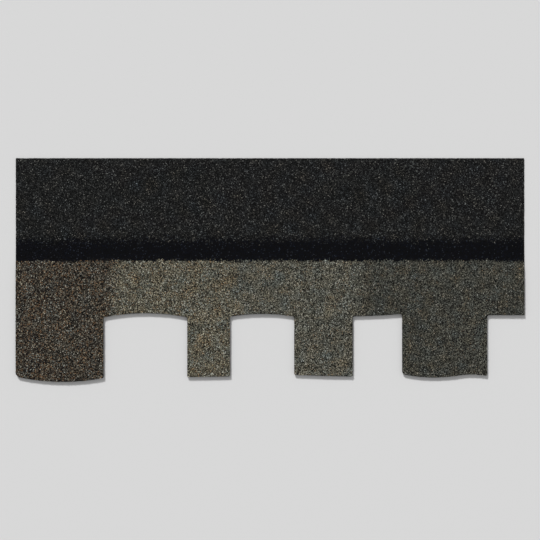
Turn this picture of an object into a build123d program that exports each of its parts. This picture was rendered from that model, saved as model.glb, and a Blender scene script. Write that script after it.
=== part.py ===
from build123d import *

import os

# One laminated asphalt shingle of the heavy shake-look kind, lying flat with its weather face up.
# A full-height face sheet is glued over a shorter backing strip, and one die cuts both plies into
# four tabs of uneven width, with a cut-out right through both plies beside each tab.
# X runs along the shingle, Y up the slope from the butts to the head, and Z out of the face.
# The origin is on the floor, under the middle of the shingle. All sizes are in millimetres.

os.makedirs("parts", exist_ok=True)

# Thickness of each ply and of what is stuck under them
face_ply = 3.0
backing_ply = 2.8
sealant_thickness = 0.8
film_thickness = 0.1

# Heights up the slope, from the lowest point of the butts
sheet_height = 457.0
backing_height = 203.0
exposure = 127.0

# Widths from left to right: each tab, then the cut-out beside it on the right
tab_1_width = 180.0
notch_1_width = 170.0
tab_2_width = 88.0
notch_2_width = 130.0
tab_3_width = 120.0
notch_3_width = 100.0
tab_4_width = 174.0
notch_4_width = 76.0
tab_widths = [tab_1_width, tab_2_width, tab_3_width, tab_4_width]
notch_widths = [notch_1_width, notch_2_width, notch_3_width, notch_4_width]

# Tabs from left to right. A wave lists how far a cut edge stands above its level line, at even
# steps from its left corner to its right one
tab_waves = [
    [2.0, -9.0, -1.0],
    [0.5, 2.0],
    [5.5, 3.2, 2.0],
    [7.0, 0.0, 4.0, 3.0],
]
tab_left_radii = [12.0, 3.0, 3.0, 8.0]
tab_right_radius = 3.0

# Cut-outs from left to right
notch_waves = [
    [-4.5, 4.0, -4.5],
    [-3.0, 2.5, -3.0],
    [-2.5, -1.0, 2.5],
    [0.0, 0.0],
]
notch_radius = 4.0

# Where the face sheet comes down off the backing strip on to the deck
drape_clearance = 2.0
drape_run = 60.0

# Spare sheet past the butts and the head, which the die trims away
trim = 10.0

# Sealant dashes under the tabs, and the film under the head that meets them when two shingles are
# packed back to back, head to butt
seal_inset = 26.0
dash_length = 40.0
dash_width = 13.0
dash_gap = 16.0
dash_corner = 3.0
dash_chamfer = 0.4
tab_margin = 10.0
film_width = 30.0

# What follows from the sizes above
length = sum(tab_widths) + sum(notch_widths)
left_end = -length / 2
right_end = length / 2
lowest_butt = -sheet_height / 2
head = sheet_height / 2
butt_line = lowest_butt - min(min(wave) for wave in tab_waves)
notch_line = butt_line + exposure
backing_top = lowest_butt + backing_height
backing_z = sealant_thickness
face_z = backing_z + backing_ply
tab_lefts = [
    left_end + sum(tab_widths[:i]) + sum(notch_widths[:i]) for i in range(len(tab_widths))
]


def cut_edge(left, width, level, rises):
    """Draws one edge of the die cut and returns its two end points.

    Two rises make a straight edge. Three make an arc, and each one more adds a tangent arc.
    """
    step = width / len(rises[1:])
    points = [(left + i * step, level + rise) for i, rise in enumerate(rises)]
    if len(points) == 2:
        Line(*points)
    else:
        arc = ThreePointArc(*points[:3])
        for point in points[3:]:
            arc = TangentArc(arc @ 1, point, tangent=arc % 1)
    return points[0], points[-1]


def die_cut_outline(top):
    """A ply's outline seen from above, from the die cut up to the level given."""
    corners = []
    edge_ends = []
    with BuildSketch() as outline:
        with BuildLine():
            for i, tab_left in enumerate(tab_lefts):
                butt = cut_edge(tab_left, tab_widths[i], butt_line, tab_waves[i])
                notch_left = tab_left + tab_widths[i]
                notch = cut_edge(notch_left, notch_widths[i], notch_line, notch_waves[i])
                edge_ends += [*butt, *notch]
                corners += [(butt[0], tab_left_radii[i]), (butt[1], tab_right_radius)]
                corners += [(notch[0], notch_radius), (notch[1], notch_radius)]
            for start, end in zip(edge_ends[1:-1:2], edge_ends[2::2]):
                Line(start, end)
            Polyline(edge_ends[-1], (right_end, top), (left_end, top), edge_ends[0])
        make_face()
        # The last cut-out is open at the shingle's right end, so its right corner has no radius
        for point, radius in corners[:-1]:
            fillet(outline.vertices().sort_by_distance(point)[0], radius)
    return outline.sketch


# Upper ply: a sheet that lies on the backing strip and comes down behind it in two tangent arcs
drape_start = backing_top + drape_clearance
with BuildPart() as face_sheet:
    with BuildSketch(Plane.YZ.offset(left_end)):
        with BuildLine():
            Line((lowest_butt - trim, face_z), (drape_start, face_z))
            crest = TangentArc(
                (drape_start, face_z), (drape_start + drape_run / 2, face_z / 2), tangent=(1, 0)
            )
            foot = TangentArc(crest @ 1, (drape_start + drape_run, 0), tangent=crest % 1)
            Line(foot @ 1, (head + trim, 0))
            offset(amount=face_ply, side=Side.LEFT)
        make_face()
    extrude(amount=length)
    with BuildSketch():
        add(die_cut_outline(head))
    extrude(amount=face_z + face_ply, mode=Mode.INTERSECT)
    # Shallow bed that the film is pressed into
    with BuildSketch():
        with Locations((0, head - seal_inset)):
            Rectangle(length, film_width)
    extrude(amount=film_thickness, mode=Mode.SUBTRACT)
face_sheet.part.label = "face_sheet"
export_step(face_sheet.part, "parts/face_sheet.step")

# Lower ply: the same tabs, and a straight upper edge above the cut-outs
with BuildPart() as backing_strip:
    with BuildSketch(Plane.XY.offset(backing_z)):
        add(die_cut_outline(backing_top))
    extrude(amount=backing_ply)
backing_strip.part.label = "backing_strip"
export_step(backing_strip.part, "parts/backing_strip.step")

# Sealant under each tab: as many dashes as fit between the tab's sides
dash_pitch = dash_length + dash_gap
for number, (tab_left, tab_width) in enumerate(zip(tab_lefts, tab_widths), start=1):
    dash_count = int((tab_width - 2 * tab_margin + dash_gap) // dash_pitch)
    with BuildPart() as seal_dashes:
        with BuildSketch():
            with Locations((tab_left + tab_width / 2, lowest_butt + seal_inset)):
                with GridLocations(dash_pitch, 0, dash_count, 1):
                    RectangleRounded(dash_length, dash_width, dash_corner)
        extrude(amount=sealant_thickness)
        chamfer(seal_dashes.edges().group_by(Axis.Z)[0], dash_chamfer)
    seal_dashes.part.label = f"seal_dashes_tab_{number}"
    export_step(seal_dashes.part, f"parts/seal_dashes_tab_{number}.step")

# Release film, flush in its bed under the head
with BuildPart() as release_film:
    with BuildSketch():
        with Locations((0, head - seal_inset)):
            Rectangle(length, film_width)
    extrude(amount=film_thickness)
release_film.part.label = "release_film"
export_step(release_film.part, "parts/release_film.step")
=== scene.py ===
import math

import bpy
import numpy as np
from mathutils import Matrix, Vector
from mathutils.geometry import delaunay_2d_cdt


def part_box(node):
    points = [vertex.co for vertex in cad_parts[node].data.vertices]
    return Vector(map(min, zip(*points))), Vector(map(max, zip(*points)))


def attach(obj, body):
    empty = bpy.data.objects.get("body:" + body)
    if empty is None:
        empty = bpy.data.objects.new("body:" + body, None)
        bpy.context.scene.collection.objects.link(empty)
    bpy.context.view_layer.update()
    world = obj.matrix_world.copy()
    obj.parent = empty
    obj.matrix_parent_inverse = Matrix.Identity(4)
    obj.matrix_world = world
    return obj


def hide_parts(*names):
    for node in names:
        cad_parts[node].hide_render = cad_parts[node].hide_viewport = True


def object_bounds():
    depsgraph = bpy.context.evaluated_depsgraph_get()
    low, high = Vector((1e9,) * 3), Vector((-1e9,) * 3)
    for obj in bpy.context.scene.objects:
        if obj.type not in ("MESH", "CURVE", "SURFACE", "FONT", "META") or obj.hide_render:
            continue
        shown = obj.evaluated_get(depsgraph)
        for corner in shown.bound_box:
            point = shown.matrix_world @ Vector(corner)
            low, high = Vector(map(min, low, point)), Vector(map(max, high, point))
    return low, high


# One laminated asphalt shingle lying flat, weather face up, seen from straight above. The frame
# gives each ply's outline and level. Made here are the torn asphalt of the die-cut edges, the
# granules, each one a chip of crushed rock, the beads of sealant and the finish of every surface.
# Lengths are in metres and angles in radians.

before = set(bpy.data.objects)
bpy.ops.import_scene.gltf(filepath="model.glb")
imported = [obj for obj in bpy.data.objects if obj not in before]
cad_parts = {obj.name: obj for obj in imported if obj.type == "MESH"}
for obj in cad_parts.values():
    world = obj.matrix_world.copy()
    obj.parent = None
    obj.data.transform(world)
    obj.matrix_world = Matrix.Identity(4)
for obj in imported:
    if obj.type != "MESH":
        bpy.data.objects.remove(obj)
cad_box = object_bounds()

MM = 0.001

# Points nearer than this are one, and so are CAD corners alike to so many decimals
SAME_POINT = 1e-6
SAME_DECIMALS = 7

# Plies: how far apart the points of their meshes lie, and how far each side keeps inside the CAD.
# With a RIM_STEP as fine as 1 mm the ragged outline can cross itself, and then no mesh is made
RIM_STEP = 1.3 * MM
FACE_STEP = 5.5 * MM
BACKING_STEP = 8.0 * MM
UNDERSIDE_STEP = 12.0 * MM
GRANULE_LAYER = 0.62 * MM
PARTING_LAYER = 0.18 * MM
PARTING_WAVES = 0.3
UNEVEN = 0.10 * MM
UNEVEN_LENGTHS = (25 * MM, 160 * MM)

# Die-cut edge: rings round the ply, each at its share of the depth and its inset
RING_DEPTHS = [0.0, 0.22, 0.6, 1.0]
RING_INSETS = [0.42 * MM, 0.12 * MM, 0.16 * MM, 0.38 * MM]
RAGGED = 0.35 * MM
RAGGED_LENGTHS = (3 * MM, 40 * MM)

# Bake maps. A ply's map has its upper side over its underside. A chip's map cell is 1 wide, and
# its hidden base is mirrored into a corner of it
PLY_MAP_FILL = 0.95
UPPER_HALF = (0.5, 0.75)
LOWER_HALF = (0.5, 0.25)
EDGE_FOLD = 1.2 * MM
CHIP_IN_CELL = 0.8
BASE_IN_CELL = (-0.2, 0.2)
BASE_FROM_MIDDLE = -0.38

# Points that fill a surface are moved at random by up to this share of their spacing
JITTER = 0.28

# Sealant
BEAD_STEP = 1.6 * MM
BEAD_WAVER = 0.9 * MM
BEAD_WAVER_LENGTHS = (4 * MM, 15 * MM)
BEAD_SHOULDER = 3.2 * MM
BEAD_SLACK = 0.1
BEAD_SLACK_LENGTHS = (5 * MM, 20 * MM)

# Granules. A pair is the range that each chip's value is drawn from. The top's size and how far
# a corner reaches out or up are shares of the chip's size, and CHIP_TO_EDGE is the share of its
# radius that it keeps away from the sheet's edge. CHIP_SCATTER is how much their lightness varies
EXPOSED_PITCH = 1.9 * MM
HEADLAP_PITCH = 2.28 * MM
EXPOSED_PIECES = 4
HEADLAP_PIECES = 2
CHIP_RADIUS = (0.9 * MM, 1.55 * MM)
CHIP_TOP = 0.78
CHIP_RISE = (0.25 * MM, 0.58 * MM)
CHIP_SUNK = 0.2 * MM
CHIP_TWIST = (0.6, 1.4)
CHIP_CORNER_REACH = (0.85, 1.0)
CHIP_CORNER_RISE = (0.55, 1.0)
CHIP_CORNER_TURN = 0.3
CHIP_TO_EDGE = 0.72
CHIP_SHINE = 0.12
CHIP_WEAR = 0.35
CHIP_SCATTER = 0.16

# Patches of the face where the granules are a little warmer or lighter than their blend, and how
# long the waves are that make them
WARM_PATCHES = (18 * MM, 70 * MM)
WARMTH = (0.09, 0.01, -0.08)
LIGHT_PATCHES = (12 * MM, 50 * MM)
LIGHTNESS = 0.07

# Sizes of the patterns in each finish, and how deep their relief is. The layers in the cut shift
# up and down by a share of its depth
FINES = 1.1 * MM
FINES_RELIEF = 0.5 * MM
CHIP_GRAIN = 0.5 * MM
CHIP_RELIEF = 0.12 * MM
CUT_GRAIN = 0.9 * MM
CUT_LAYER_WANDER = 2.5 * MM
CUT_LAYER_SHIFT = 0.15
CUT_SMEAR = 6 * MM
CUT_ROUGHNESS = 0.8 * MM
CUT_RELIEF = 0.9 * MM
MAT_STRAND = 0.35 * MM
SAND = 0.45 * MM
SAND_RELIEF = 0.25 * MM
SAND_DRIFT = 70 * MM
SEAL_DUST = 2 * MM
SEAL_SLACK = 4 * MM
SEAL_RELIEF = 0.12 * MM
FILM_HAZE = 30 * MM
FILM_CREASE = 16 * MM
FILM_RELIEF = 0.5 * MM

# Where one colour drop ends and the next begins, from the left end
DROP_ENDS = [200 * MM, 450 * MM, 700 * MM]
DROP_FADE = 9 * MM
DROP_WANDER = 3 * MM
DROP_WANDER_LENGTHS = (15 * MM, 60 * MM)

# The dark band. Its lowest part shows through the next course's cut-outs, like a shadow under
# their upper edges, and the rest lies under the next course
EXPOSURE = 127 * MM
BAND_IN_VIEW = 16 * MM
BAND_HEIGHT = 44 * MM
BAND_FADE = 1.6 * MM
HEADLAP_FADE = 6 * MM

# Seeds of what is drawn at random
FACE_SEED = 11
BACKING_SEED = 23
SURFACE_SEED = 100
EXPOSED_SEED = 31
HEADLAP_SEED = 32
SEALANT_SEED = 41
BED_SEED = 5

# Studio: the key comes from above and a little left in the picture, as on the photographed roof.
# The lens is in millimetres, as the camera takes it
FRAME_WIDTH = 1.10
LENS = 100.0
KEY_FROM = (-1.6, 4.0, 2.9)
KEY_SPREAD = math.radians(9)
KEY_STRENGTH = 3.09
FILL_STRENGTH = 0.45
FLOOR_LEVEL = 0.68
FLOOR_HALF = 9.0


def shade(red, green, blue):
    """A colour written as 0 to 255 in sRGB, in the linear light that Blender works in."""
    return tuple((c / 255) ** 2.2 for c in (red, green, blue))


def grey(level):
    """A grey of the given linear level, which also serves as a plain number in a ramp."""
    return (level, level, level)


# What each blend is made of: a share and a colour for every kind of granule. The first four are
# the colour drops from left to right, and the last two cover the dark band and the headlap
BLENDS = {
    "brown": [
        (0.32, shade(13, 12, 12)),
        (0.23, shade(48, 43, 38)),
        (0.20, shade(88, 83, 74)),
        (0.12, shade(122, 117, 104)),
        (0.08, shade(124, 98, 74)),
        (0.05, shade(164, 161, 148)),
    ],
    "tan": [
        (0.22, shade(20, 19, 17)),
        (0.23, shade(70, 67, 58)),
        (0.27, shade(112, 109, 95)),
        (0.15, shade(148, 145, 127)),
        (0.06, shade(147, 126, 99)),
        (0.07, shade(185, 184, 170)),
    ],
    "gray": [
        (0.21, shade(18, 18, 17)),
        (0.25, shade(65, 64, 57)),
        (0.30, shade(106, 105, 94)),
        (0.16, shade(139, 138, 125)),
        (0.03, shade(134, 118, 97)),
        (0.05, shade(174, 173, 162)),
    ],
    "charcoal": [
        (0.21, shade(18, 18, 17)),
        (0.32, shade(56, 56, 51)),
        (0.31, shade(90, 90, 82)),
        (0.12, shade(118, 118, 108)),
        (0.02, shade(112, 100, 84)),
        (0.02, shade(152, 151, 142)),
    ],
    "shadow": [
        (0.78, shade(6, 8, 14)),
        (0.18, shade(14, 18, 28)),
        (0.04, shade(50, 54, 62)),
    ],
    "headlap": [
        (0.44, shade(14, 15, 16)),
        (0.34, shade(42, 43, 43)),
        (0.17, shade(70, 71, 70)),
        (0.05, shade(108, 108, 104)),
    ],
}
BLEND_NAMES = list(BLENDS)

ASPHALT = shade(12, 11, 11)
SMEARED_ASPHALT = shade(17, 16, 16)


# Shapes read from the frame


def cad_side(node, facing):
    """The corners of a CAD node, and its triangles that look mostly up (1) or down (-1)."""
    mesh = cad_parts[node].data
    mesh.calc_loop_triangles()
    corners = np.empty(len(mesh.vertices) * 3)
    mesh.vertices.foreach_get("co", corners)
    triangles = np.empty(len(mesh.loop_triangles) * 3, int)
    mesh.loop_triangles.foreach_get("vertices", triangles)
    corners = corners.reshape(-1, 3).round(SAME_DECIMALS)
    places, same = np.unique(corners, axis=0, return_inverse=True)
    triangles = same.reshape(-1)[triangles].reshape(-1, 3)
    a, b, c = places[triangles].transpose(1, 0, 2)
    normals = np.cross(b - a, c - a)
    is_level = normals[:, 2] * facing > 0.5 * np.linalg.norm(normals, axis=1)
    return places, triangles[is_level]


def outlines(places, triangles):
    """The closed outlines of patches of faces seen from above, each one anticlockwise."""
    edges = {(t[i], t[(i + 1) % 3]) for t in triangles.tolist() for i in range(3)}
    after = {a: b for a, b in edges if (b, a) not in edges}
    loops = []
    while after:
        loop = [min(after)]
        while loop[-1] in after:
            loop.append(after.pop(loop[-1]))
        loops.append(places[loop[:-1], :2])
    return loops


def level_by_y(places, triangles):
    """How high a patch of faces lies at each y, for a sheet that is alike all along x."""
    used = places[np.unique(triangles)]
    y, first = np.unique(used[:, 1], return_index=True)
    return y, used[first, 2]


def upper_surface(node):
    """A function for the height of a ply's upper side at any points. It is a little uneven, and
    always in the same way, so that what lies on the ply follows it."""
    levels = level_by_y(*cad_side(node, 1))

    def height(points):
        waves = ripples(points, UNEVEN_LENGTHS, np.random.default_rng(SURFACE_SEED))
        return np.interp(points[:, 1], *levels) - (1 + np.clip(waves, -1, 1)) * UNEVEN

    return height


face_outline = outlines(*cad_side("face_sheet", 1))[0]
face_height = upper_surface("face_sheet")

# The last cut-out is open at the right end, so the outline's lowest point there is the level of
# its upper edge. In the next course that edge lies one exposure higher
right_end = face_outline[face_outline[:, 0] > face_outline[:, 0].max() - SAME_POINT]
band_low = right_end[:, 1].min() + EXPOSURE - BAND_IN_VIEW
band_high = band_low + BAND_HEIGHT
lowest_butt, head = face_outline[:, 1].min(), face_outline[:, 1].max()


# Points and outlines


def in_steps(loop, step):
    """A closed outline with points added every so often along its edges."""
    stretches = []
    for start, end in zip(loop, np.roll(loop, -1, axis=0)):
        count = max(1, round(float(np.linalg.norm(end - start)) / step))
        stretches.append(start + (end - start) * np.arange(count)[:, None] / count)
    return np.concatenate(stretches)


def inward(rim):
    """For each point of an anticlockwise outline, the direction into it."""
    along = np.roll(rim, -1, axis=0) - np.roll(rim, 1, axis=0)
    across = np.stack([-along[:, 1], along[:, 0]], axis=1)
    return across / np.linalg.norm(across, axis=1, keepdims=True)


def inside(points, loop, margin):
    """Which points lie in a closed outline and at least the margin away from its edges."""
    x, y = points.T
    within = np.zeros(len(points), bool)
    clear = np.ones(len(points), bool)
    for start, end in zip(loop, np.roll(loop, -1, axis=0)):
        edge = end - start
        if edge[1]:
            crossed = (start[1] > y) != (end[1] > y)
            within ^= crossed & (x < start[0] + edge[0] * (y - start[1]) / edge[1])
        share = np.clip((points - start) @ edge / (edge @ edge), 0, 1)
        gap = np.linalg.norm(points - start - share[:, None] * edge, axis=1)
        clear &= gap > margin
    return within & clear


def scattered(low, high, pitch, rng):
    """Points about evenly over a rectangle: staggered rows, each point moved at random."""
    rows = np.arange(low[1], high[1], pitch * math.sqrt(3) / 2)
    columns = np.arange(low[0], high[0], pitch)
    x = columns[None, :] + np.where(np.arange(len(rows)) % 2, pitch / 2, 0)[:, None]
    y = np.broadcast_to(rows[:, None], x.shape)
    points = np.stack([x.ravel(), y.ravel()], axis=1)
    return points + rng.uniform(-JITTER, JITTER, points.shape) * pitch


def ripples(points, wavelengths, rng, count=14):
    """Smooth unevenness between about -1 and 1, with no direction of its own."""
    turns = rng.uniform(0, 2 * math.pi, count)
    lengths = rng.uniform(*wavelengths, count)
    ways = np.stack([np.cos(turns), np.sin(turns)]) * 2 * math.pi / lengths
    phases = rng.uniform(0, 2 * math.pi, count)
    return np.cos(points @ ways + phases).sum(axis=1) / math.sqrt(2 * count)


# Meshes


def new_object(name, data):
    piece = bpy.data.objects.new(name, data)
    bpy.context.scene.collection.objects.link(piece)
    return piece


def new_piece(name, mesh, materials):
    """A piece of the shingle in its materials and its slot of the record."""
    piece = new_object(name, mesh)
    for material in materials:
        mesh.materials.append(material)
    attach(piece, "root")
    return piece


def filled(rim, step, rng):
    """Points and triangles that fill a closed outline with about even triangles."""
    field = scattered(rim.min(axis=0), rim.max(axis=0), step, rng)
    points = np.concatenate([rim, field[inside(field, rim, step / 2)]])
    ring = [(i, (i + 1) % len(rim)) for i in range(len(rim))]
    found = delaunay_2d_cdt(points.tolist(), ring, [], 1, SAME_POINT)
    if len(found[0]) != len(points):
        raise ValueError("an outline crosses itself, or two of its points are one")
    return points, np.array(found[2])


def cut_rings(loop, rng):
    """The rings that make a die-cut edge, from the upper side down."""
    rim = in_steps(loop, RIM_STEP)
    tear = np.abs(ripples(rim, RAGGED_LENGTHS, rng)) * RAGGED
    return [
        rim + inward(rim) * (inset + tear + rng.uniform(0, RAGGED, len(rim)))[:, None]
        for inset in RING_INSETS
    ]


def walls_between(starts, count):
    """Quads that join each ring of the edge to the next, from the rings' first corners."""
    here = np.arange(count)
    after = np.roll(here, -1)
    return np.concatenate(
        [
            np.column_stack([upper + here, lower + here, lower + after, upper + after])
            for upper, lower in zip(starts[:-1], starts[1:])
        ]
    )


def ply_shape(node, step, cover, rng):
    """A ply's points in rings from the top down, and its faces: top, die-cut edge and underside.

    The first and the last ring also hold the points that fill the upper side and the underside.
    """
    rings = cut_rings(outlines(*cad_side(node, 1))[0], rng)
    count = len(rings[0])
    top, top_faces = filled(rings[0], step, rng)
    base, base_faces = filled(rings[-1], UNDERSIDE_STEP, rng)
    top_z = upper_surface(node)(top) - cover
    waves = np.clip(ripples(base, UNEVEN_LENGTHS, rng), -1, 1)
    base_z = np.interp(base[:, 1], *level_by_y(*cad_side(node, -1)))
    base_z += (1 + PARTING_WAVES * waves) * PARTING_LAYER

    layers = [np.column_stack([top, top_z])]
    for ring, depth in zip(rings[1:-1], RING_DEPTHS[1:-1]):
        ring_z = top_z[:count] * (1 - depth) + base_z[:count] * depth
        layers.append(np.column_stack([ring, ring_z]))
    layers.append(np.column_stack([base, base_z]))
    starts = np.cumsum([0, *(len(layer) for layer in layers[:-1])])
    return layers, [top_faces, walls_between(starts, count), base_faces[:, ::-1] + starts[-1]]


def ply_mesh(name, node, step, cover, seed):
    """A ply's closed mesh, with a material for each of its three lots of faces."""
    layers, faces = ply_shape(node, step, cover, np.random.default_rng(seed))
    places = np.concatenate(layers)
    mesh = bpy.data.meshes.new(name)
    mesh.from_pydata(places.tolist(), [], [face for lot in faces for face in lot.tolist()])
    lots = [len(lot) for lot in faces]
    mesh.polygons.foreach_set("material_index", np.repeat([0, 1, 2], lots))
    mesh.polygons.foreach_set("use_smooth", np.repeat([True, False, True], lots))
    sizes = [len(layer) for layer in layers]
    depths = mesh.attributes.new("depth", "FLOAT", "POINT")
    depths.data.foreach_set("value", np.repeat(RING_DEPTHS, sizes))
    rim = layers[0][: sizes[1], :2]
    lay_out_ply(mesh, places[:, :2], rim, np.cumsum(sizes[:-1]), lots)
    return mesh


def lay_out_ply(mesh, flat, rim, starts, lots):
    """The ply's bake map, with the rings of the edge folded out round its upper side."""
    middle = (flat.min(axis=0) + flat.max(axis=0)) / 2
    scale = PLY_MAP_FILL / np.ptp(flat, axis=0).max()
    unfolded = flat.copy()
    for turn, start in enumerate(starts, start=1):
        unfolded[start : start + len(rim)] = rim - inward(rim) * EDGE_FOLD * turn
    above = (unfolded - middle) * scale + UPPER_HALF
    below = (flat - middle) * (-scale, scale) + LOWER_HALF
    corner = np.empty(len(mesh.loops), int)
    mesh.loops.foreach_get("vertex_index", corner)
    # The triangles of the upper side and the quads of the edge come before the underside
    first_below = lots[0] * 3 + lots[1] * 4
    is_above = np.arange(len(corner))[:, None] < first_below
    spread = np.where(is_above, above[corner], below[corner])
    mesh.uv_layers.new(name="OFBake").uv.foreach_set("vector", spread.ravel())


def bead_fall(points, rim, rng):
    """How far a bead hangs down at each point, as a share of its full depth."""
    to_rim = np.linalg.norm(points[:, None] - rim[None], axis=2).min(axis=1)
    fall = np.sin(np.clip(to_rim / BEAD_SHOULDER, 0, 1) * math.pi / 2)
    slack = np.clip(ripples(points, BEAD_SLACK_LENGTHS, rng), -1, 1)
    return fall * (1 - BEAD_SLACK * (1 - slack))


def bead_mesh(name, node, rng):
    """The dashes under one tab, each a strip laid on soft, with a wavering outline."""
    places, faces = [], []
    floor, seat = (corner.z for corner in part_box(node))
    seat += (1 + PARTING_WAVES) * PARTING_LAYER
    for loop in outlines(*cad_side(node, 1)):
        rim = in_steps(loop, BEAD_STEP)
        waver = np.clip(ripples(rim, BEAD_WAVER_LENGTHS, rng), -1, 1) * 0.5 + 0.5
        rim = rim + inward(rim) * (waver * BEAD_WAVER)[:, None]
        points, triangles = filled(rim, BEAD_STEP, rng)
        # With all its corners on the rim a triangle has no height, so the bead goes without it
        triangles = triangles[(triangles >= len(rim)).any(axis=1)]
        skin_z = seat - bead_fall(points, rim, rng) * (seat - floor)
        lid = np.column_stack([points, np.full(len(points), seat)])[len(rim) :]
        start = sum(len(part) for part in places)
        places += [np.column_stack([points, skin_z]), lid]
        lid_corners = np.where(triangles < len(rim), triangles, triangles + len(lid))
        faces += (triangles[:, ::-1] + start).tolist() + (lid_corners + start).tolist()
    mesh = bpy.data.meshes.new(name)
    mesh.from_pydata(np.concatenate(places).tolist(), [], faces)
    mesh.shade_smooth()
    return mesh


# Materials


class Finish:
    """A material with its Principled shader, and short ways to add nodes to it."""

    def __init__(self, name, inputs):
        self.material = bpy.data.materials.new(name)
        self.material.use_nodes = True
        self.tree = self.material.node_tree
        self.shader = self.tree.nodes["Principled BSDF"]
        self.set(self.shader, inputs)

    def set(self, node, inputs):
        """Gives inputs, by name or number, a fixed value or what comes from another node."""
        for key, value in inputs.items():
            if isinstance(value, bpy.types.NodeSocket):
                self.tree.links.new(value, node.inputs[key])
            else:
                node.inputs[key].default_value = value

    def add(self, kind, inputs, **settings):
        node = self.tree.nodes.new("ShaderNode" + kind)
        for key, value in settings.items():
            setattr(node, key, value)
        self.set(node, inputs)
        return node

    def place(self):
        return self.add("TexCoord", {}).outputs["Object"]

    def stored(self, name, output):
        """What the mesh holds under a name, point by point."""
        return self.add("Attribute", {}, attribute_name=name).outputs[output]

    def noise(self, size, detail=3.0):
        inputs = {"Vector": self.place(), "Scale": 1 / size, "Detail": detail, "Roughness": 0.6}
        return self.add("TexNoise", inputs).outputs["Fac"]

    def cells(self, size):
        """Three random numbers for each cell of a pattern like crushed stone."""
        cell = self.add("TexVoronoi", {"Vector": self.place(), "Scale": 1 / size})
        return self.add("SeparateColor", {"Color": cell.outputs["Color"]}).outputs

    def cell_edge(self, size):
        """How far away the edge of such a cell is."""
        inputs = {"Vector": self.place(), "Scale": 1 / size}
        return self.add("TexVoronoi", inputs, feature="DISTANCE_TO_EDGE").outputs["Distance"]

    def ramp(self, value, *stops, interpolation="LINEAR"):
        node = self.add("ValToRGB", {"Fac": value})
        node.color_ramp.interpolation = interpolation
        while len(node.color_ramp.elements) < len(stops):
            node.color_ramp.elements.new(0.5)
        for element, (position, colour) in zip(node.color_ramp.elements, stops):
            element.position = position
            element.color = (*colour, 1)
        return node.outputs["Color"]

    def math(self, operation, *values):
        return self.add("Math", dict(enumerate(values)), operation=operation).outputs[0]

    def mix(self, share, first, second, blend_type="MIX"):
        """One colour from two. They are the Mix node's inputs 6 and 7, and its output 2."""
        node = self.add("Mix", {}, data_type="RGBA", blend_type=blend_type)
        self.set(node, {0: share, 6: first, 7: second})
        return node.outputs[2]

    def bump(self, height, distance):
        inputs = {"Height": height, "Distance": distance}
        self.set(self.shader, {"Normal": self.add("Bump", inputs).outputs[0]})


def bed_finish():
    """What shows between the chips: fines pressed into asphalt, in the tint of the blend there."""
    finish = Finish("granule_bed", {"Specular IOR Level": CHIP_SHINE})
    numbers = finish.cells(FINES)
    light = finish.ramp(
        numbers[0],
        (0.0, grey(0.1)),
        (0.4, grey(0.45)),
        (0.75, grey(1.0)),
        (0.93, grey(2.4)),
        interpolation="CONSTANT",
    )
    fines = finish.mix(1.0, finish.stored("tint", "Color"), light, "MULTIPLY")
    pressed = finish.ramp(finish.cell_edge(FINES), (0.0, grey(0)), (0.12, grey(1)))
    colour = finish.mix(pressed, (*ASPHALT, 1), fines)
    rough = finish.ramp(numbers[1], (0.0, grey(0.7)), (1.0, grey(0.98)))
    finish.set(finish.shader, {"Base Color": colour, "Roughness": rough})
    finish.bump(finish.math("MULTIPLY", pressed, numbers[2]), FINES_RELIEF)
    return finish.material


def chip_finish():
    """Crushed rock with its fired colour coat, thin in places and dull."""
    finish = Finish("ceramic_granules", {"Specular IOR Level": CHIP_SHINE})
    grain = finish.noise(CHIP_GRAIN)
    worn = finish.ramp(grain, (0.3, grey(0.3)), (0.7, grey(1.0)))
    colour = finish.mix(CHIP_WEAR, finish.stored("tint", "Color"), worn, "MULTIPLY")
    rough = finish.ramp(grain, (0.3, grey(0.62)), (0.7, grey(0.92)))
    finish.set(finish.shader, {"Base Color": colour, "Roughness": rough})
    finish.bump(grain, CHIP_RELIEF)
    return finish.material


def cut_layers(finish):
    """The colours of a cut ply from the top down: sliced chips, then asphalt with a fibre mat."""
    numbers = finish.cells(CUT_GRAIN)
    sliced = finish.ramp(
        numbers[0],
        (0.0, shade(20, 19, 18)),
        (0.35, shade(60, 57, 51)),
        (0.65, shade(92, 88, 79)),
        (0.88, shade(138, 133, 121)),
        interpolation="CONSTANT",
    )
    filler = finish.ramp(
        numbers[0],
        (0.0, shade(17, 16, 16)),
        (0.5, shade(30, 28, 26)),
        (0.8, shade(50, 47, 43)),
        (0.95, shade(84, 80, 73)),
        interpolation="CONSTANT",
    )
    strands = finish.noise(MAT_STRAND)
    fibres = finish.ramp(strands, (0.4, shade(40, 36, 31)), (0.6, shade(104, 95, 82)))

    wander = finish.noise(CUT_LAYER_WANDER)
    shift = finish.math("MULTIPLY_ADD", wander, 2 * CUT_LAYER_SHIFT, -CUT_LAYER_SHIFT)
    depth = finish.math("ADD", finish.stored("depth", "Fac"), shift)
    is_top = finish.ramp(depth, (0.12, grey(1)), (0.24, grey(0)))
    is_mat = finish.ramp(
        depth, (0.46, grey(0)), (0.5, grey(0.8)), (0.56, grey(0.8)), (0.6, grey(0))
    )
    return finish.mix(is_mat, finish.mix(is_top, filler, sliced), fibres)


def cut_finish():
    """The die's cut through a ply, where the die has smeared asphalt over some of the layers."""
    finish = Finish("cut_asphalt", {"Specular IOR Level": 0.35})
    smear = finish.noise(CUT_SMEAR)
    smeared = finish.ramp(smear, (0.42, grey(0)), (0.68, grey(0.75)))
    colour = finish.mix(smeared, cut_layers(finish), (*SMEARED_ASPHALT, 1))
    rough = finish.ramp(smear, (0.3, grey(0.9)), (0.7, grey(0.5)))
    finish.set(finish.shader, {"Base Color": colour, "Roughness": rough})
    finish.bump(finish.noise(CUT_ROUGHNESS), CUT_RELIEF)
    return finish.material


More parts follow.
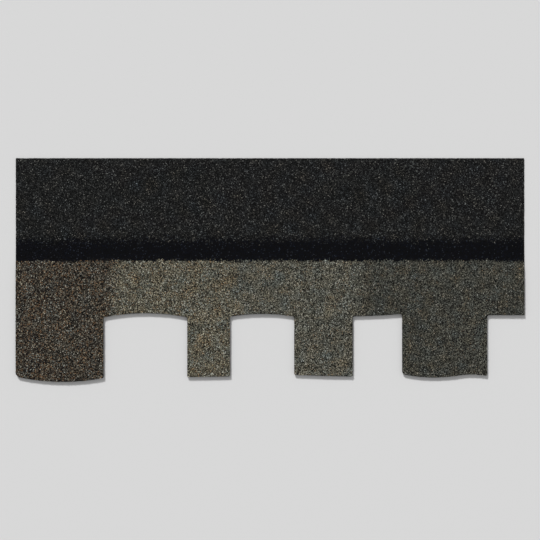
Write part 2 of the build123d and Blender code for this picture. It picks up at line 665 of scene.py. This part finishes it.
def back_finish():
    """The underside: asphalt dusted with sand and talc so that packed shingles come apart."""
    finish = Finish("sanded_back", {})
    sand = finish.noise(SAND, detail=2.0)
    drift = finish.noise(SAND_DRIFT, detail=4.0)
    grain = finish.ramp(
        sand, (0.42, shade(24, 23, 22)), (0.58, shade(60, 57, 52)), (0.72, shade(112, 106, 96))
    )
    bare = finish.ramp(drift, (0.35, grey(0)), (0.7, grey(0.6)))
    colour = finish.mix(bare, grain, (*shade(34, 32, 30), 1))
    rough = finish.ramp(drift, (0.3, grey(0.95)), (0.7, grey(0.7)))
    finish.set(finish.shader, {"Base Color": colour, "Roughness": rough})
    finish.bump(sand, SAND_RELIEF)
    return finish.material


def sealant_finish():
    """Heat-seal asphalt: a shiny skin, a little slack, with dust in patches."""
    finish = Finish("seal_asphalt", {})
    dust = finish.noise(SEAL_DUST, detail=6.0)
    colour = finish.ramp(dust, (0.5, shade(13, 13, 14)), (0.8, shade(34, 33, 31)))
    rough = finish.ramp(dust, (0.45, grey(0.25)), (0.75, grey(0.6)))
    finish.set(finish.shader, {"Base Color": colour, "Roughness": rough})
    finish.bump(finish.noise(SEAL_SLACK, detail=2.0), SEAL_RELIEF)
    return finish.material


def film_finish():
    """Clear release film, a little cloudy and creased."""
    clear = {"Transmission Weight": 0.95, "IOR": 1.49, "Base Color": (0.92, 0.94, 0.95, 1)}
    finish = Finish("release_film", clear)
    haze = finish.noise(FILM_HAZE, detail=1.0)
    rough = finish.ramp(haze, (0.35, grey(0.06)), (0.7, grey(0.3)))
    finish.set(finish.shader, {"Roughness": rough})
    finish.bump(finish.noise(FILM_CREASE, detail=1.0), FILM_RELIEF)
    return finish.material


# Granules


def blend_at(points, rng):
    """The blend that a granule at each point comes from, as its number in BLEND_NAMES."""
    wander = ripples(points, DROP_WANDER_LENGTHS, rng) * DROP_WANDER
    along = points[:, 0] - cad_box[0].x + wander + rng.normal(0, DROP_FADE, len(points))
    kinds = np.searchsorted(DROP_ENDS, along)
    up = points[:, 1] + wander / 2 + rng.normal(0, BAND_FADE, len(points))
    kinds = np.where(up > band_low, BLEND_NAMES.index("shadow"), kinds)
    up = points[:, 1] + rng.normal(0, HEADLAP_FADE, len(points))
    return np.where(up > band_high, BLEND_NAMES.index("headlap"), kinds)


def granule_colours(points, rng):
    """A colour for a granule at each point, drawn from its blend, in warm and light patches."""
    kinds = blend_at(points, rng)
    colours = np.empty((len(points), 3))
    for number, blend in enumerate(BLENDS.values()):
        mine = kinds == number
        shares, shades = zip(*blend)
        colours[mine] = np.array(shades)[rng.choice(len(shares), mine.sum(), p=shares)]
    warm = ripples(points, WARM_PATCHES, rng)[:, None] * WARMTH
    light = ripples(points, LIGHT_PATCHES, rng)[:, None] * LIGHTNESS
    return colours * (1 + warm + light) * rng.lognormal(0, CHIP_SCATTER, (len(points), 1))


def chip_corners(centres, radius, rng):
    """Six corners for each chip: a low triangle, and a smaller one turned over it."""
    count = len(centres)
    turn = rng.uniform(0, 2 * math.pi, count)
    twist = rng.uniform(*CHIP_TWIST, count)
    rise = rng.uniform(*CHIP_RISE, count)
    corners = np.arange(3) * 2 * math.pi / 3
    places = np.empty((count, 6, 3))
    for upper, size in enumerate((1.0, CHIP_TOP)):
        skew = rng.uniform(-CHIP_CORNER_TURN, CHIP_CORNER_TURN, (count, 3))
        angle = (turn + upper * twist)[:, None] + corners + skew
        reach = radius[:, None] * rng.uniform(*CHIP_CORNER_REACH, (count, 3)) * size
        lift = rise[:, None] * rng.uniform(*CHIP_CORNER_RISE, (count, 3)) if upper else -CHIP_SUNK
        part = places[:, upper * 3 : upper * 3 + 3]
        part[..., 0] = centres[:, None, 0] + np.cos(angle) * reach
        part[..., 1] = centres[:, None, 1] + np.sin(angle) * reach
        part[..., 2] = centres[:, None, 2] + lift
    # The die cuts flush what would stick out past the shingle
    low, high = cad_box
    return np.clip(places, (low.x, low.y, low.z), (high.x, high.y, high.z))


def chips_mesh(name, centres, radius, colours, rng):
    """Chips as one mesh of closed eight-sided solids, each with its colour and its map cell."""
    count = len(centres)
    places = chip_corners(centres, radius, rng)
    faces = [(2, 1, 0), (3, 4, 5)]
    for corner in range(3):
        after = (corner + 1) % 3
        faces += [(corner, after, corner + 3), (after, after + 3, corner + 3)]
    triangles = (np.arange(count)[:, None, None] * 6 + np.array(faces)).ravel()
    mesh = bpy.data.meshes.new(name)
    mesh.vertices.add(count * 6)
    mesh.vertices.foreach_set("co", places.ravel())
    mesh.loops.add(len(triangles))
    mesh.loops.foreach_set("vertex_index", triangles)
    mesh.polygons.add(len(triangles) // 3)
    mesh.polygons.foreach_set("loop_start", np.arange(0, len(triangles), 3))
    mesh.update(calc_edges=True)
    mesh.shade_flat()
    store_tint(mesh, np.repeat(colours, 6, axis=0))

    side = math.ceil(math.sqrt(count))
    middle = np.column_stack([np.arange(count) % side, np.arange(count) // side]) + 0.5
    spread = ((places - centres[:, None])[..., :2] / (2 * radius[:, None, None]))[:, faces]
    flat = middle[:, None, None] + spread * CHIP_IN_CELL
    # The first face is the base
    flat[:, 0] = middle[:, None] + BASE_FROM_MIDDLE + spread[:, 0] * BASE_IN_CELL
    mesh.uv_layers.new(name="OFBake").uv.foreach_set("vector", (flat / side).ravel())
    return mesh


def store_tint(mesh, colours):
    """Keeps a colour for each point of a mesh, which its material reads."""
    tint = mesh.attributes.new("tint", "FLOAT_VECTOR", "POINT")
    tint.data.foreach_set("vector", np.ascontiguousarray(colours).ravel())


def lay_granules(name, low_y, high_y, pitch, pieces, material, seed):
    """Chips over one stretch of the face sheet, in a few joined meshes from left to right."""
    rng = np.random.default_rng(seed)
    left, right = face_outline[:, 0].min(), face_outline[:, 0].max()
    points = scattered((left, low_y), (right, high_y), pitch, rng)
    points = points[np.argsort(points[:, 0])]
    radius = rng.uniform(*CHIP_RADIUS, len(points))
    held = inside(points, face_outline, radius * CHIP_TO_EDGE)
    points, radius = points[held], radius[held]
    colours = granule_colours(points, rng)
    centres = np.column_stack([points, face_height(points) - GRANULE_LAYER])
    for number, mine in enumerate(np.array_split(np.arange(len(points)), pieces), start=1):
        label = f"{name}_{number}"
        mesh = chips_mesh(label, centres[mine], radius[mine], colours[mine], rng)
        new_piece(label, mesh, [material])


# The shingle's parts


def build_face_sheet(back):
    """The granule-surfaced ply, its bed tinted with the mean colour of the granules on it."""
    name = "granule_faced_sheet"
    mesh = ply_mesh(name, "face_sheet", FACE_STEP, GRANULE_LAYER, FACE_SEED)
    places = np.empty(len(mesh.vertices) * 3)
    mesh.vertices.foreach_get("co", places)
    kinds = blend_at(places.reshape(-1, 3)[:, :2], np.random.default_rng(BED_SEED))
    means = [sum(np.array(colour) * share for share, colour in blend) for blend in BLENDS.values()]
    store_tint(mesh, np.array(means)[kinds])
    materials = [bed_finish(), cut_finish(), back]
    sheet = new_piece(name, mesh, materials)
    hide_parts("face_sheet")


def build_backing_strip(back):
    mesh = ply_mesh("backing_ply", "backing_strip", BACKING_STEP, 0.0, BACKING_SEED)
    strip = new_piece("backing_ply", mesh, [back, cut_finish(), back])
    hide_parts("backing_strip")


def build_sealant():
    rng = np.random.default_rng(SEALANT_SEED)
    material = sealant_finish()
    for node in sorted(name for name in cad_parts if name.startswith("seal_dashes")):
        label = node.replace("seal_dashes", "sealant_beads")
        beads = new_piece(label, bead_mesh(label, node, rng), [material])
        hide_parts(node)


def finish_film():
    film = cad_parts["release_film"].data
    film.materials.clear()
    film.materials.append(film_finish())


# The studio


def build_floor():
    mesh = bpy.data.meshes.new("floor")
    sides = (-FLOOR_HALF, FLOOR_HALF)
    mesh.from_pydata([(x, y, 0) for y in sides for x in sides], [], [(0, 1, 3, 2)])
    floor = new_object("floor", mesh)
    inputs = {"Base Color": (*grey(FLOOR_LEVEL), 1), "Roughness": 0.9}
    mesh.materials.append(Finish("studio_floor", inputs).material)


def light_scene():
    sun = bpy.data.lights.new("key", "SUN")
    sun.energy = KEY_STRENGTH
    sun.angle = KEY_SPREAD
    key = new_object("key", sun)
    key.rotation_euler = (-Vector(KEY_FROM)).to_track_quat("-Z", "Y").to_euler()
    world = bpy.data.worlds.new("studio")
    world.use_nodes = True
    sky = world.node_tree.nodes["Background"]
    sky.inputs["Color"].default_value = (1, 1, 1, 1)
    sky.inputs["Strength"].default_value = FILL_STRENGTH
    bpy.context.scene.world = world
    bpy.context.scene.view_settings.view_transform = "Standard"


def place_camera():
    low, high = cad_box
    data = bpy.data.cameras.new("camera")
    data.lens = LENS
    camera = new_object("camera", data)
    height = high.z + FRAME_WIDTH * LENS / data.sensor_width
    camera.location = (*((low + high) / 2).xy, height)
    bpy.context.scene.camera = camera


sanded_back = back_finish()
build_face_sheet(sanded_back)
build_backing_strip(sanded_back)
build_sealant()
finish_film()
ceramic = chip_finish()
lay_granules(
    "exposed_granules", lowest_butt, band_high, EXPOSED_PITCH, EXPOSED_PIECES, ceramic, EXPOSED_SEED
)
lay_granules(
    "headlap_granules", band_high, head, HEADLAP_PITCH, HEADLAP_PIECES, ceramic, HEADLAP_SEED
)
build_floor()
light_scene()
place_camera()
